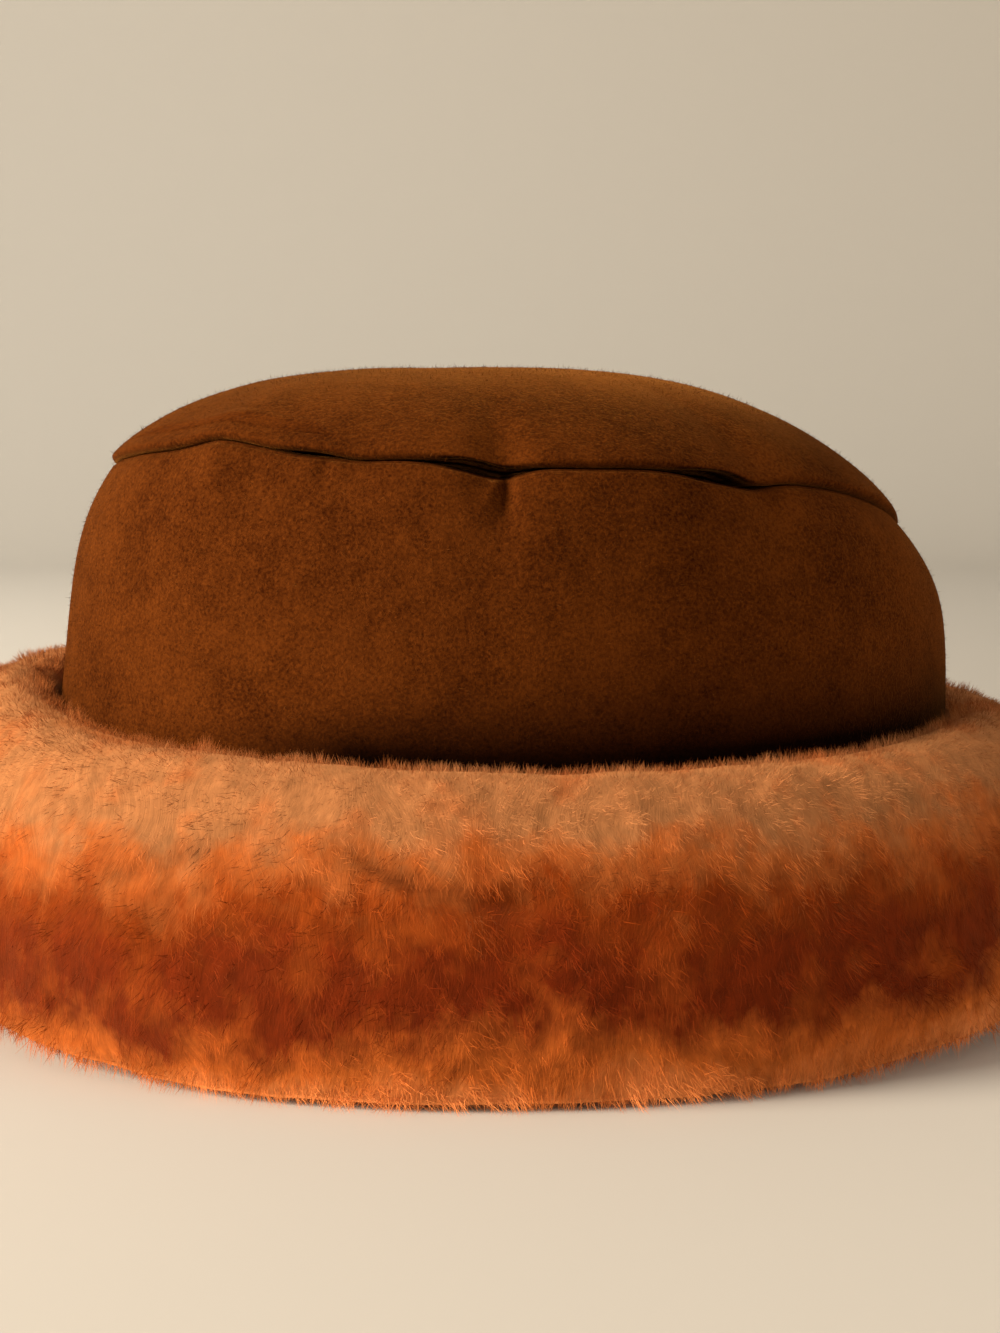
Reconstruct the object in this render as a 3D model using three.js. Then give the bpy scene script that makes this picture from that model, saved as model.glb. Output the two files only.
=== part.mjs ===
// A soft suede bucket hat with a thick sheared-fur brim, resting on the brim's lower edge.
// Millimetres, +Z up, +X to the hat's front, +Y to the wearer's left.
// The origin is on the ground under the middle of the hat.
import * as THREE from 'three';

// Crown
const crownLength = 211; // outside, front to back, at the foot of the side band
const crownWidth = 180; // outside, side to side
const eggShare = 0.03; // how much wider the oval is at the back than at the front
const hatHeight = 141; // from the ground to the top of the dome
const tipRise = 23.5; // the dome's top above the seam at the hat's sides
const domeBack = 11; // the dome's highest point, behind the middle
const seamInset = 12; // seam, in from the foot of the band
const suedeThickness = 2.5;
const tipRoll = 1.4; // radius of the tip's turned edge
const bandRoll = 1.6; // how far the band's top edge turns in before it meets the seam
const seamAllowance = 5; // flat turned-in edges behind the seam

// Brim
const brimHeight = 62; // from the ground to the crest of the fur at the front
const brimReach = 33.5; // fur beyond the crown, at the front
const bandTuck = 11; // how far the band goes down behind the crest
const grooveDepth = 6.5; // crest down to where the fur leaves the suede
const footRise = 6; // lower edge of the fur above the ground at the front and the back
const footFlatShare = 0.35; // cosine of the angle where the lower edge starts to rise
const lockDepth = 1.9; // how far a lock stands out of the fur
const lockDrop = 2.0; // how far its point is combed down

const clearance = 0.3; // between two pieces that are sewn together

// Mesh
const turns = 96; // points round the hat, a multiple of 4
const furRows = 17; // rows of points over the fur, from the groove to the foot
const domeShares = [0.2, 0.4, 0.57, 0.71, 0.82, 0.905, 0.965]; // rings of the dome
const wallShares = [0, 0.22, 0.42, 0.6, 0.75, 0.87, 0.95]; // rings of the band's wall
const domeFullness = 3; // exponents of the dome's profile
const domeSlope = 0.86;
const domeFold = 9; // how late a pucker starts on the dome
const shoulderPower = 5; // how late the band's wall turns in to the seam
const pinchPower = 7; // how late a pucker starts on the band's wall

// Sections of the hat, a row for each eighth of a turn, from the front towards the wearer's left.
//   drop   dome's top above the seam, share of tipRise
//   inset  seam in from the band's foot, share of seamInset
//   lean   share of that inset by which the wall leans evenly, the rest is its round shoulder
//   crest  top of the fur above the ground, share of brimHeight
//   reach  fur beyond the crown, share of brimReach
const sections = [
  { drop: 1.58, inset: 0.96, lean: 0.05, crest: 1.02, reach: 1.0 },
  { drop: 1.18, inset: 0.94, lean: 0.15, crest: 1.03, reach: 0.97 },
  { drop: 0.97, inset: 0.92, lean: 0.27, crest: 1.04, reach: 0.88 },
  { drop: 0.88, inset: 1.0, lean: 0.35, crest: 1.16, reach: 0.97 },
  { drop: 0.98, inset: 1.12, lean: 0.43, crest: 1.17, reach: 1.0 },
  { drop: 0.83, inset: 1.0, lean: 0.35, crest: 1.05, reach: 0.97 },
  { drop: 0.96, inset: 0.92, lean: 0.27, crest: 0.99, reach: 0.88 },
  { drop: 1.16, inset: 0.94, lean: 0.15, crest: 1.01, reach: 0.97 },
];

// Puckers and dents of the seam.
//   angle   degrees from the front towards the wearer's left
//   spread  half its width, degrees
//   lift    how far it raises the seam, share of tipRise
//   pinch   how far it pulls the seam in, share of seamInset
const folds = [
  { angle: 350, spread: 8, lift: -0.06, pinch: 0.04 },
  { angle: 304, spread: 4, lift: -0.06, pinch: 0.1 },
  { angle: 288, spread: 7, lift: 0.03, pinch: -0.06 },
  { angle: 270, spread: 3.5, lift: -0.06, pinch: 0.22 },
  { angle: 252, spread: 4, lift: -0.03, pinch: 0.06 },
  { angle: 232, spread: 7, lift: 0.09, pinch: -0.06 },
  { angle: 183, spread: 5, lift: -0.04, pinch: 0.08 },
  { angle: 139, spread: 6, lift: 0.05, pinch: -0.05 },
  { angle: 117, spread: 4, lift: -0.05, pinch: 0.14 },
  { angle: 82, spread: 4, lift: -0.05, pinch: 0.1 },
  { angle: 47, spread: 4, lift: -0.04, pinch: 0.12 },
];

// The fur's section, from the groove at the crown over the crest and down to the foot.
//   out   beyond the crown, share of the reach
//   up    above the ground, share of the crest's height
//   lock  how far the locks stand out there, share of lockDepth
const furSection = [
  { out: 0.05, up: 0.945, lock: 0.15 },
  { out: 0.2, up: 0.995, lock: 0.5 },
  { out: 0.36, up: 1.0, lock: 0.8 },
  { out: 0.52, up: 0.96, lock: 0.9 },
  { out: 0.66, up: 0.88, lock: 1.0 },
  { out: 0.79, up: 0.765, lock: 1.0 },
  { out: 0.89, up: 0.625, lock: 1.0 },
  { out: 0.96, up: 0.475, lock: 1.0 },
  { out: 1.0, up: 0.32, lock: 1.0 },
  { out: 1.0, up: 0.18, lock: 0.9 },
  { out: 0.96, up: 0.07, lock: 0.5 },
  { out: 0.89, up: 0.015, lock: 0.1 },
];

// The flattened foot and the fur inside the brim, shares as above.
const underSection = [
  { out: 0.78, up: 0 },
  { out: 0.4, up: 0 },
  { out: 0.22, up: 0.06 },
  { out: 0.13, up: 0.2 },
  { out: 0.06, up: 0.4 },
  { out: 0.0, up: 0.62 },
];

// A smooth value between the rows of a table, at a place counted in rows.
function between(rows, column, place, closed) {
  const count = rows.length;
  const row = Math.min(Math.floor(place), closed ? count - 1 : count - 2);
  const t = place - row;
  const value = (step) => {
    const index = row + step;
    const kept = closed ? (index + count) % count : THREE.MathUtils.clamp(index, 0, count - 1);
    return rows[kept][column];
  };
  const [before, start, end, after] = [value(-1), value(0), value(1), value(2)];
  const bend = 2 * before - 5 * start + 4 * end - after;
  const twist = 3 * (start - end) + after - before;
  return start + 0.5 * t * (end - before + t * (bend + t * twist));
}

// A column of the sections at an angle round the hat.
function around(column, angle) {
  return between(sections, column, (angle / (2 * Math.PI)) * sections.length, true);
}

// The sum of all folds in one column, at an angle round the hat.
function folded(column, angle) {
  let sum = 0;
  for (const fold of folds) {
    const away = angle - THREE.MathUtils.degToRad(fold.angle);
    const nearest = Math.atan2(Math.sin(away), Math.cos(away));
    sum += fold[column] * Math.exp(-((nearest / THREE.MathUtils.degToRad(fold.spread)) ** 2));
  }
  return sum;
}

// A point of the oval that lies `out` beyond the crown's foot, at a height.
function onOval(angle, out, height) {
  const x = (crownLength / 2 + out) * Math.cos(angle);
  const y = (crownWidth / 2 + out) * Math.sin(angle) * (1 - eggShare * Math.cos(angle));
  return new THREE.Vector3(x, y, height);
}

// The seam between tip and band: how far it lies in from the crown's foot, how far a pucker
// pulls it further, and its height without and with the puckers.
function seamAt(angle) {
  const inset = seamInset * around('inset', angle);
  const pinch = seamInset * folded('pinch', angle);
  const plainHeight = hatHeight - tipRise * around('drop', angle);
  const height = plainHeight + tipRise * folded('lift', angle);
  return { inset, pinch, plainHeight, height };
}

// The foot of the band, which stands on the brim's ledge.
function bandFootAt(angle) {
  return brimHeight * around('crest', angle) - bandTuck;
}

// A closed body over rings of points. Its rings run round the hat, each ring's points in the
// same order. With poles, a point closes each end; without, the last ring joins the first.
function skin(rings, poles) {
  const points = rings.flat();
  const faces = [];
  const at = (ring, turn) => (ring % rings.length) * turns + (turn % turns);
  const bands = poles ? rings.length - 1 : rings.length;
  for (let ring = 0; ring < bands; ring += 1) {
    for (let turn = 0; turn < turns; turn += 1) {
      const [a, b] = [at(ring, turn), at(ring, turn + 1)];
      const [c, d] = [at(ring + 1, turn), at(ring + 1, turn + 1)];
      faces.push(a, c, b, b, c, d);
    }
  }
  if (poles) {
    const [first, last] = [points.length, points.length + 1];
    points.push(...poles);
    for (let turn = 0; turn < turns; turn += 1) {
      faces.push(first, at(0, turn), at(0, turn + 1));
      faces.push(last, at(rings.length - 1, turn + 1), at(rings.length - 1, turn));
    }
  }
  const geometry = new THREE.BufferGeometry().setFromPoints(points);
  geometry.setIndex(faces);
  geometry.computeVertexNormals();
  return geometry;
}

// Rings of points, one for each place of a section, which a function of the angle gives.
function ringsOf(sectionAt) {
  const columns = [];
  for (let turn = 0; turn < turns; turn += 1) {
    columns.push(sectionAt((turn / turns) * 2 * Math.PI, turn));
  }
  return columns[0].map((_, row) => columns.map((column) => column[row]));
}

// One side of the dome's wall, from its top to an edge. It falls slowly at first and steepens
// towards the plain edge; the puckered edge departs from that only close to the seam.
function domeLine(plainEdge, edge, top) {
  const centre = new THREE.Vector3(-domeBack, 0, 0);
  const pucker = edge.clone().sub(plainEdge);
  return domeShares.map((share) => {
    const point = centre.clone().lerp(plainEdge, share);
    const rise = (1 - share ** domeFullness) ** domeSlope;
    point.z = plainEdge.z + (top - plainEdge.z) * rise;
    return point.addScaledVector(pucker, share ** domeFold);
  });
}

// The tip: a domed oval of suede whose edge is rolled in to the seam and turned flat behind it.
function crownTip() {
  const rings = ringsOf((angle) => {
    const { inset, pinch, plainHeight, height } = seamAt(angle);
    const out = -inset - pinch;
    const bottom = height + clearance / 2;
    const flangeEnd = out - tipRoll - seamAllowance;
    const plainEdge = onOval(angle, -inset, plainHeight + clearance / 2 + tipRoll);
    const edge = onOval(angle, out, bottom + tipRoll);
    const innerPlain = onOval(angle, -inset - suedeThickness, plainEdge.z + suedeThickness);
    const innerEdge = onOval(angle, out - suedeThickness, edge.z + suedeThickness);
    const inside = domeLine(innerPlain, innerEdge, hatHeight - suedeThickness);
    return [
      ...domeLine(plainEdge, edge, hatHeight),
      edge,
      onOval(angle, out - tipRoll * (1 - Math.SQRT1_2), bottom + tipRoll * (1 - Math.SQRT1_2)),
      onOval(angle, out - tipRoll, bottom),
      onOval(angle, flangeEnd, bottom),
      onOval(angle, flangeEnd, bottom + suedeThickness),
      innerEdge,
      ...inside.filter((_, ring) => ring % 2).reverse(),
    ];
  });
  const outerTop = new THREE.Vector3(-domeBack, 0, hatHeight);
  const innerTop = new THREE.Vector3(-domeBack, 0, hatHeight - suedeThickness);
  return skin(rings, [outerTop, innerTop]);
}

// The side band: its wall leans in from the foot, rounds over at the shoulder, dips where the
// seam is puckered, and is turned flat behind the seam.
function crownBand() {
  const rings = ringsOf((angle) => {
    const { inset, pinch, height } = seamAt(angle);
    const lean = around('lean', angle);
    const foot = bandFootAt(angle);
    const top = height - clearance / 2;
    const edgeHeight = top - bandRoll / 2;
    const outAt = (share) => {
      const turned = lean * share + (1 - lean) * share ** shoulderPower;
      return -inset * turned - pinch * share ** pinchPower;
    };
    const wall = wallShares.map((share) =>
      onOval(angle, outAt(share), foot + (edgeHeight - foot) * share));
    const out = outAt(1);
    const flangeEnd = out - tipRoll - seamAllowance;
    const underFlange = top - suedeThickness;
    const inner = [1, 3, 5].map((i) => {
      const share = wallShares[i];
      const height = foot + (underFlange - suedeThickness - foot) * share;
      return onOval(angle, outAt(share) - suedeThickness, height);
    });
    return [
      onOval(angle, -suedeThickness, foot),
      ...wall,
      onOval(angle, out, edgeHeight),
      onOval(angle, out - bandRoll, top),
      onOval(angle, flangeEnd, top),
      onOval(angle, flangeEnd, underFlange),
      onOval(angle, out - suedeThickness, underFlange - suedeThickness / 2),
      ...inner.reverse(),
    ].reverse();
  });
  return skin(rings);
}

// The fur's outer surface along an angle. Its locks are staggered like scales: each stands out
// at its point, which is combed down, and sinks back beside it.
function furLine(angle, turn, reach, crest, lift) {
  const rows = [];
  const lastRow = furSection.length - 1;
  for (let row = 0; row < furRows; row += 1) {
    const place = (row / (furRows - 1)) * lastRow;
    const read = (column, at) =>
      between(furSection, column, THREE.MathUtils.clamp(at, 0, lastRow), false);
    const step = lastRow / furRows;
    const along = new THREE.Vector2(
      (read('out', place + step) - read('out', place - step)) * reach,
      (read('up', place + step) - read('up', place - step)) * crest,
    ).normalize();
    const isPoint = row % 2 === 1 && (turn + (row % 4 === 1 ? 0 : 1)) % 2 === 0;
    const lock = read('lock', place) * (isPoint ? 1 : 0);
    const sink = read('lock', place) * (isPoint ? 0 : -0.35);
    const stand = lockDepth * (lock + sink);
    const comb = lockDrop * lock;
    const up = read('up', place);
    rows.push(onOval(
      angle,
      reach * read('out', place) - along.y * stand + along.x * comb,
      crest * up + lift * (1 - up) + along.x * stand + along.y * comb,
    ));
  }
  return rows;
}

// The brim: a ring of fur on its backing. It stands up round the crown with a groove between,
// slopes outwards to its widest place low down, and is flattened where it rests. The band
// stands on a ledge inside it.
function furBrim() {
  const rings = ringsOf((angle, turn) => {
    const crest = brimHeight * around('crest', angle);
    const reach = brimReach * around('reach', angle);
    const rise = THREE.MathUtils.smoothstep(Math.abs(Math.cos(angle)), footFlatShare, 1);
    const lift = footRise * rise;
    const ledge = bandFootAt(angle) - clearance;
    const under = underSection.map(({ out, up }) =>
      onOval(angle, reach * out, crest * up + lift * (1 - up)));
    return [
      onOval(angle, -suedeThickness, ledge),
      onOval(angle, clearance, ledge),
      onOval(angle, clearance, crest - grooveDepth),
      ...furLine(angle, turn, reach, crest, lift),
      ...under,
    ];
  });
  return skin(rings);
}

const suede = { color: 0x6e3a14, roughness: 0.95, metalness: 0 };
const pieces = [
  { name: 'crown_tip', geometry: crownTip(), finish: suede },
  { name: 'crown_band', geometry: crownBand(), finish: suede },
  { name: 'fur_brim', geometry: furBrim(), finish: { color: 0xc5692f, roughness: 1, metalness: 0 } },
];

const hat = new THREE.Group();
for (const { name, geometry, finish } of pieces) {
  const mesh = new THREE.Mesh(geometry, new THREE.MeshStandardMaterial(finish));
  mesh.name = name;
  hat.add(mesh);
}

export default hat;
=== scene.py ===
"""A soft suede bucket hat with a thick sheared-fur brim, resting on a pale studio floor.

Metres, +Z up, +X to the hat's front, +Y to the wearer's left. The suede and the fur dress the
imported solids. Every surface is a function of the angle round the hat (turn) and of a place
along its section, and is worked out as whole arrays.
"""
import math

import bpy
import numpy as np
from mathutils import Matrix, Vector


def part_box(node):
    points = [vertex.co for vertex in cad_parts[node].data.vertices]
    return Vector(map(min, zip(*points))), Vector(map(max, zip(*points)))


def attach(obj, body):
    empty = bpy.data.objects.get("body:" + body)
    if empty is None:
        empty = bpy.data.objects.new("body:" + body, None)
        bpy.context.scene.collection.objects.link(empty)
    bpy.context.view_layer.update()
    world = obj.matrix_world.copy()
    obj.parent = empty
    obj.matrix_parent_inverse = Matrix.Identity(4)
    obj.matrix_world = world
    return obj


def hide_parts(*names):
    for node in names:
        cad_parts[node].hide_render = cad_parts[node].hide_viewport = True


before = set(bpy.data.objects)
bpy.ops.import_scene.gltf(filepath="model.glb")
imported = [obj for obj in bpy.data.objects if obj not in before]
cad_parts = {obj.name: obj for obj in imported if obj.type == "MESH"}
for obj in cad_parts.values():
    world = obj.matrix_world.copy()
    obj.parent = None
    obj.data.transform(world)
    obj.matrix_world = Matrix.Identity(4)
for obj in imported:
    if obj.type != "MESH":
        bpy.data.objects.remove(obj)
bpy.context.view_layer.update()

MM = 0.001
FULL_TURN = 2 * math.pi

# Sizes taken from the solids
BAND_LOW, BAND_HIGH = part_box("crown_band")
HALF_LENGTH = (BAND_HIGH[0] - BAND_LOW[0]) / 2
HALF_WIDTH = (BAND_HIGH[1] - BAND_LOW[1]) / 2
HAT_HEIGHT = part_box("crown_tip")[1][2]

# The crown
EGG_SHARE = 0.03
TIP_RISE = 23.5 * MM
DOME_BACK = 11 * MM
DOME_FULLNESS, DOME_SLOPE = 3, 0.86
SUEDE = 2.5 * MM
SEAM_INSET = 12 * MM
SEAM_ALLOWANCE = 5 * MM
SEAM_GAP = 0.3 * MM
# The share of the seam allowance over which a gape stays open
GAPE_REACH = 0.8
LIP_RADIUS = 1.7 * MM
SHOULDER_RADIUS = 0.9 * MM
# How fast the wall rounds over and the pinches and puckers fade away from the seam, as powers
SHOULDER_POWER = 5
PINCH_POWER = 7
DOME_FOLDS = (9, 9, 4)

# Painted shade darkens the suede at its hem, where the fur crowds it, and is partly dirt there;
# most of all where the hem's share of HEM_HEIGHT is HEM_FULL or more. Painted shade also darkens
# the seam: SEAM_PAINTED_SHADE where it is closed, and GAPE_PAINTED_SHADE for each metre that it
# gapes, on the rows of the tip's rolled lip and flange and on those of the band's edge
HEM_HEIGHT, HEM_FULL = 23 * MM, 0.7
SEAM_PAINTED_SHADE, GAPE_PAINTED_SHADE = 0.45, 0.4 / MM
LIP_PAINTED_SHADE = (0.3, 0.8, 1, 1, 1, 1, 1, 1)
EDGE_PAINTED_SHADE = (1, 0.9, 0.6, 0.3, 0)

# The brim
BRIM_HEIGHT = 62 * MM
BRIM_REACH = 33.5 * MM
BAND_TUCK = 11 * MM
GROOVE_DEPTH = 6.5 * MM
FOOT_RISE = 6 * MM
FOOT_FLAT_SHARE = 0.35
PILE_SET_IN = 1.4 * MM
SKIN_CLEARANCE, STRAND_CLEARANCE = 0.1 * MM, 0.05 * MM

# Soft waves of the surfaces: height, size and seed, and for the dome the power of its fade
DOME_WAVES = ((0.5 * MM, 42 * MM, 1, 6), (0.18 * MM, 13 * MM, 2, 10))
BAND_WAVES = ((0.8 * MM, 48 * MM, 3), (0.25 * MM, 16 * MM, 4))
BRIM_WAVES = ((1.1 * MM, 30 * MM, 5), (0.55 * MM, 11 * MM, 6))

# Sections of the hat for each eighth of a turn, from the front towards the wearer's left, as
# shares of the sizes above: drop of TIP_RISE, inset of SEAM_INSET, lean of the inset, crest of
# BRIM_HEIGHT, reach of BRIM_REACH, and height of the suede's hem of painted shade, partly dirt.
# The last row is how far down the fur its bands of colour are moved, as a share of the fur from
# groove to foot
SECTIONS = {
    "drop": (1.58, 1.18, 0.97, 0.88, 0.98, 0.83, 0.96, 1.16),
    "inset": (0.96, 0.94, 0.92, 1.0, 1.12, 1.0, 0.92, 0.94),
    "lean": (0.05, 0.15, 0.27, 0.35, 0.43, 0.35, 0.27, 0.15),
    "crest": (1.02, 1.03, 1.04, 1.16, 1.17, 1.05, 0.99, 1.01),
    "reach": (1.0, 0.97, 0.88, 0.97, 1.0, 0.97, 0.88, 0.97),
    "hem_shade_and_dirt": (0.8, 0.7, 0.8, 0.7, 0.3, 0.15, 1.0, 1.0),
    "dye": (0.02, -0.01, -0.02, 0.01, 0.05, 0.07, 0.0, 0.0),
}

# Puckers of the seam: angle and half width in degrees, lift as a share of TIP_RISE, pinch of
# SEAM_INSET, and how far the tip's lip and the band's edge gape there
FOLDS = np.array(
    [
        (350, 8, -0.06, 0.04, 0, 0),
        (304, 4, -0.06, 0.10, 0, 0),
        (298, 5.5, 0, 0, 1.1 * MM, 1.0 * MM),
        (288, 7, 0.03, -0.06, 0, 0),
        (270, 3.5, -0.06, 0.22, 0, 0),
        (267, 5, 0, 0, 1.1 * MM, 1.3 * MM),
        (252, 4, -0.03, 0.06, 0, 0),
        (245, 4, 0, 0, 0.4 * MM, 0.3 * MM),
        (232, 7, 0.09, -0.06, 0, 0),
        (183, 5, -0.04, 0.08, 0, 0),
        (139, 6, 0.05, -0.05, 0, 0),
        (117, 4, -0.05, 0.14, 0.7 * MM, 0.4 * MM),
        (82, 4, -0.05, 0.10, 0.4 * MM, 0.3 * MM),
        (47, 4, -0.04, 0.12, 0.6 * MM, 0.4 * MM),
    ],
    dtype=[(name, float) for name in ("angle", "spread", "lift", "pinch", "lip", "edge")],
)

# Short creases that run down the band from the seam: angle in degrees, then length, half width
# and depth
CREASES = np.array(
    [
        (270.3, 7.5 * MM, 0.8 * MM, 1.3 * MM),
        (305, 9 * MM, 2.2 * MM, 0.5 * MM),
        (248, 4 * MM, 0.8 * MM, 0.6 * MM),
        (232, 14 * MM, 3.0 * MM, -0.5 * MM),
        (183, 6 * MM, 1.2 * MM, 0.6 * MM),
        (117, 7 * MM, 1.1 * MM, 1.2 * MM),
        (82, 5 * MM, 1.0 * MM, 0.7 * MM),
        (47, 6 * MM, 1.1 * MM, 1.0 * MM),
    ],
    dtype=[(name, float) for name in ("angle", "length", "width", "depth")],
)

# The fur's section from the groove at the crown over the crest and down to the foot, then
# under the foot and up inside: out as a share of the reach, up as a share of the crest's height
FUR_OUT = (0.05, 0.2, 0.36, 0.52, 0.66, 0.79, 0.89, 0.96, 1.0, 1.0, 0.96, 0.89)
FUR_UP = (0.945, 0.995, 1.0, 0.96, 0.88, 0.765, 0.625, 0.475, 0.32, 0.18, 0.07, 0.015)
UNDER_OUT = (0.78, 0.4, 0.22, 0.13, 0.06, 0.0)
UNDER_UP = (0.0, 0.0, 0.06, 0.2, 0.4, 0.62)

# Partings where the fur falls to either side: runs of angles in degrees with their places along
# the fur, and a depth
PARTINGS = (
    ((256.5, 259, 261.6, 265, 268, 273.5), (0.435, 0.461, 0.491, 0.516, 0.532, 0.534), 2.4 * MM),
    ((235, 239, 242.5, 245.5), (0.552, 0.520, 0.491, 0.457), 0.8 * MM),
    ((290, 294, 299), (0.50, 0.515, 0.49), 0.7 * MM),
    ((318, 322, 327), (0.45, 0.46, 0.50), 0.8 * MM),
    ((72, 77, 84, 88), (0.50, 0.52, 0.50, 0.47), 1.4 * MM),
    ((128, 134, 138), (0.44, 0.47, 0.52), 1.0 * MM),
    ((168, 176, 181), (0.55, 0.53, 0.56), 1.1 * MM),
    ((352, 357, 364), (0.48, 0.51, 0.50), 1.2 * MM),
)
# The half width of a parting, and the depth at which its painted shade is darkest
PARTING_WIDTH, PARTING_DARK = 2.0 * MM, 2.6 * MM
# The fur's length from the groove to the foot, and round the hat
FUR_RUN, FUR_ROUND = 95 * MM, 840 * MM
# The last place along the fur, inside the brim
FUR_END = 1.35

# Colours of the fur at places along it, from 0 at the groove to 1 at the foot
FUR_DYES = (
    (0.0, (0.30, 0.09, 0.022)),
    (0.10, (0.34, 0.135, 0.047)),
    (0.38, (0.335, 0.130, 0.044)),
    (0.46, (0.34, 0.086, 0.017)),
    (0.54, (0.185, 0.028, 0.0018)),
    (0.62, (0.128, 0.014, 0.0008)),
    (0.73, (0.115, 0.0115, 0.0007)),
    (0.84, (0.38, 0.085, 0.012)),
    (1.0, (0.62, 0.21, 0.062)),
)

# Points round the hat and rows along each section
TIP_TURNS, TIP_ROWS = 480, 40
BAND_TURNS, BAND_ROWS = 512, 44
BRIM_TURNS, BRIM_ROWS, UNDER_ROWS = 680, 58, 14

# Fur and nap
FUR_PIECES, FUR_STRANDS = 4, 42000
FUR_LENGTH, FUR_WIDTH = 3.6 * MM, 0.19 * MM
FUR_STIR, FUR_PALE_SHARE = 0.9, 0.05
# The fur's own tone, and how strongly painted shade darkens the tufts' hollows and lights their
# ridges
FUR_TONE, TUFT_PAINTED_SHADE = 0.45, 0.35
FUR_ROOT_SINK = 0.3 * MM
TUFT, TUFT_RISE, TUFT_PULL = 3.4 * MM, 0.4 * MM, 0.9 * MM
# How dense, long, upright, wild and wide the strands are at places along the fur
FUR_DENSITY = (
    (0, 0.12, 0.36, 0.45, 0.84, 0.9, 1.04, 1.1, FUR_END),
    (2.2, 2.4, 1.6, 1, 1, 1.6, 1.6, 0.15, 0.08),
)
FUR_ROOM = (0, 0.12, 0.36, 0.5, 0.85, 0.95, 1.04, 1.1), (0.9, 0.6, 0.6, 1, 1, 1.15, 1.15, 0.4)
FUR_RISE = (0, 0.12, 0.24, 0.32, 0.42, 0.84, 0.94), (1.4, 1.3, 0.9, 0.55, 0.42, 0.42, 0.8)
FUR_WILD = (0, 0.12, 0.3, 0.45, 0.84, 0.94), (1.5, 1.3, 0.8, 0.4, 0.35, 0.6)
FUR_GIRTH = (0, 0.15, 0.35), (0.6, 0.7, 1)
NAP_STRANDS, NAP_LENGTH, NAP_WIDTH = 26000, 1.2 * MM, 0.1 * MM
# How much the nap stands up, lies down the wall and turns every way
NAP_RISE, NAP_LEAN, NAP_WILD = 0.3, 0.4, 0.8

# The studio, in metres: lights with their target, place, size, power and colour, the floor's
# round bowl, and the camera's lens in millimetres and downward tilt in degrees
HAT_MIDDLE = (0, 0, 0.07)
LIGHTS = {
    "key_light": (HAT_MIDDLE, (-1.38, -0.5, 0.6), 0.7, 62, (1.0, 0.88, 0.74)),
    "fill_light": (HAT_MIDDLE, (1.4, -0.55, 0.5), 1.0, 10, (1.0, 0.92, 0.84)),
    "backdrop_light": ((-1.7, 2.4, 1.0), (-0.5, 0.4, 1.5), 1.4, 24, (1.0, 0.95, 0.88)),
}
SKY_COLOUR, SKY_STRENGTH = (1.0, 0.93, 0.84, 1), 0.52
FLOOR_RADIUS, FLOOR_CORNER, WALL_HEIGHT, FLOOR_TURNS = 1.7, 0.9, 2.6, 96
FLOOR_COLOUR = (0.50, 0.47, 0.415, 1)
CAMERA_PLACE = (-0.75 * MM, -439.5 * MM, 119.3 * MM)
CAMERA_LENS, CAMERA_SENSOR, CAMERA_TILT = 49.21, 36, 6.43

RANDOM = np.random.default_rng(20)
LATTICE = RANDOM.random(4096)


def smooth_between(values, place, closed=False):
    """A curve through values, read at places counted in rows. Each stretch is a cubic whose
    slope at a row is half the step between that row's neighbours."""
    values = np.asarray(values, float)
    count = len(values)
    row = np.minimum(np.floor(place).astype(int), count - 1 if closed else count - 2)
    t = place - row

    def at(step):
        index = row + step
        return values[index % count if closed else np.clip(index, 0, count - 1)]

    before, start, end, after = at(-1), at(0), at(1), at(2)
    bend = 2 * before - 5 * start + 4 * end - after
    twist = 3 * (start - end) + after - before
    return start + 0.5 * t * (end - before + t * (bend + t * twist))


def around(column, turn):
    """A column of SECTIONS at an angle, counted in eighths of a turn."""
    return smooth_between(SECTIONS[column], turn / FULL_TURN * 8, closed=True)


def angle_from(turn, degrees):
    """The signed angle from each of a table's angles to each turn, in radians."""
    away = np.asarray(turn)[..., None] - np.radians(degrees)
    return np.arctan2(np.sin(away), np.cos(away))


def folded(column, turn):
    """The sum of the puckers in one column of FOLDS, each a bell curve round its angle."""
    bell = np.exp(-((angle_from(turn, FOLDS["angle"]) / np.radians(FOLDS["spread"])) ** 2))
    return (bell * FOLDS[column]).sum(-1)


def soft_noise(points, size, seed=0):
    """Smooth values from -1 to 1: a lattice of random values `size` apart, blended by the eased
    distances from each point to the eight corners of its cube."""
    place = points / size + seed * 17.13
    cell = np.floor(place).astype(np.int64)
    t = place - cell
    t = t * t * (3 - 2 * t)
    total = np.zeros(points.shape[:-1])
    for corner in np.ndindex(2, 2, 2):
        x, y, z = np.moveaxis(cell + corner, -1, 0)
        index = (x * 73856093 ^ y * 19349663 ^ z * 83492791) & 4095
        total += np.prod(np.where(corner, t, 1 - t), axis=-1) * LATTICE[index]
    return 2 * total - 1


def noise_slope(points, size, seed):
    """The direction and rate at which soft_noise rises, from its differences over an eighth of
    its size along each axis, as a change over one size."""
    step = size / 8
    moves = np.eye(3) * step
    rises = [
        soft_noise(points + move, size, seed) - soft_noise(points - move, size, seed)
        for move in moves
    ]
    return np.stack(rises, -1) * size / (2 * step)


def waves(points, table):
    """Soft waves at points: the sum of a table's noises, each with its height, size and seed."""
    return sum(height * soft_noise(points, size, seed) for height, size, seed in table)


def on_oval(turn, out, height):
    """Points of the oval that lies `out` beyond the crown's foot. Its half axes grow by out,
    and it is a little wider at the back."""
    x = (HALF_LENGTH + out) * np.cos(turn)
    y = (HALF_WIDTH + out) * np.sin(turn) * (1 - EGG_SHARE * np.cos(turn))
    return np.stack(np.broadcast_arrays(x, y, height), axis=-1)


def unit(vectors):
    """Vectors scaled to length one."""
    return vectors / np.maximum(np.linalg.norm(vectors, axis=-1, keepdims=True), 1e-12)


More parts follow.
